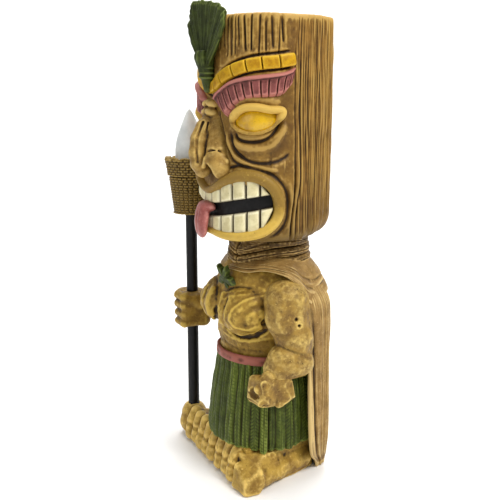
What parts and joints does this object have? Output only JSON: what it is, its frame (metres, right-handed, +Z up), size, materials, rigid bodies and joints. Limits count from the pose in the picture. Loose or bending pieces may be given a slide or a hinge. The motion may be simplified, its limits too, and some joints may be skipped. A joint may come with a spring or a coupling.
{
  "type": "tiki figure with solar torch",
  "caption": "Standing tiki figure in painted cast resin holding a torch whose frosted flame is lit by a small solar-charged lamp.",
  "frame": {"origin": "on the ground under the middle of the log-shaped head, on the bottom cover's face", "axes": "+X towards the figure's left hand, the figure faces -Y, +Z up"},
  "size_m": [0.13, 0.0934, 0.3036],
  "materials": {
    "bark_resin": "cast resin painted brown, dark wash in the grooves, ochre dry-brushed on the ridges",
    "skin_resin": "cast resin painted tan and ochre with a brown wash",
    "cape_resin": "cast resin painted dull olive brown",
    "basket_resin": "cast resin painted brown, woven pattern",
    "green_paint": "cast resin painted dark green, lighter on the ridges",
    "pink_paint": "cast resin painted dull pink",
    "gold_paint": "cast resin painted golden yellow",
    "eye_gloss": "golden yellow with a clear gloss coat",
    "tooth_paint": "cast resin painted off-white",
    "black_paint": "flat black paint",
    "pole_paint": "steel tube painted satin black",
    "diffuser": "frosted white moulded plastic",
    "white_plastic": "white moulded plastic",
    "clear_epoxy": "clear epoxy",
    "black_plastic": "black moulded plastic, fine texture",
    "solar_blue": "dark blue cell under clear epoxy",
    "gasket_rubber": "black foam rubber",
    "steel": "zinc-plated steel",
    "nickel": "nickel-plated spring steel",
    "cell_wrap": "shrink sleeve, plain green",
    "board_green": "solder-masked board",
    "wire_red": "insulated wire pair"
  },
  "bodies": {
    "figure": {"base_casting": "bark_resin", "left_foot": "skin_resin", "right_foot": "skin_resin", "torso": "skin_resin", "left_arm": "skin_resin", "left_fist": "skin_resin", "right_arm": "skin_resin", "right_fist": "skin_resin", "grass_skirt": "green_paint", "waistband": "pink_paint", "cape": "cape_resin", "neck_scarf": "cape_resin", "leaf_brooch": "green_paint", "head_log": "bark_resin", "headband": "gold_paint", "head_leaf": "green_paint", "brows": "pink_paint", "eyelids": "bark_resin", "eyes": "eye_gloss", "nose": "bark_resin", "lip_ring": "skin_resin", "upper_teeth": "tooth_paint", "lower_teeth": "tooth_paint", "mouth_lining": "black_paint", "tongue": "pink_paint", "torch_pole": "pole_paint", "torch_basket": "basket_resin", "led_plug": "white_plastic", "led": "clear_epoxy", "flame_lens": "diffuser", "solar_frame": "black_plastic", "solar_cell": "solar_blue", "solar_gasket": "gasket_rubber", "bottom_cover": "black_plastic", "cover_screws": "steel", "battery_cell": "cell_wrap", "contact_spring": "nickel", "contact_plate": "nickel", "circuit_board": "board_green", "switch_body": "steel", "solar_wires": "wire_red", "led_wires": "wire_red"},
    "battery_door": {"battery_door": "black_plastic"},
    "switch_knob": {"switch_knob": "black_plastic"}
  },
  "joints": [
    {"name": "battery_door_hinge", "type": "hinge", "parent": "figure", "child": "battery_door", "pos_m": [-0.002, -0.0086, 0.0013], "axis": [1, 0, 0], "range_deg": [0, 90]},
    {"name": "switch_slide", "type": "slide", "parent": "figure", "child": "switch_knob", "axis": [1, 0, 0], "range_m": [0, 0.003]}
  ]
}
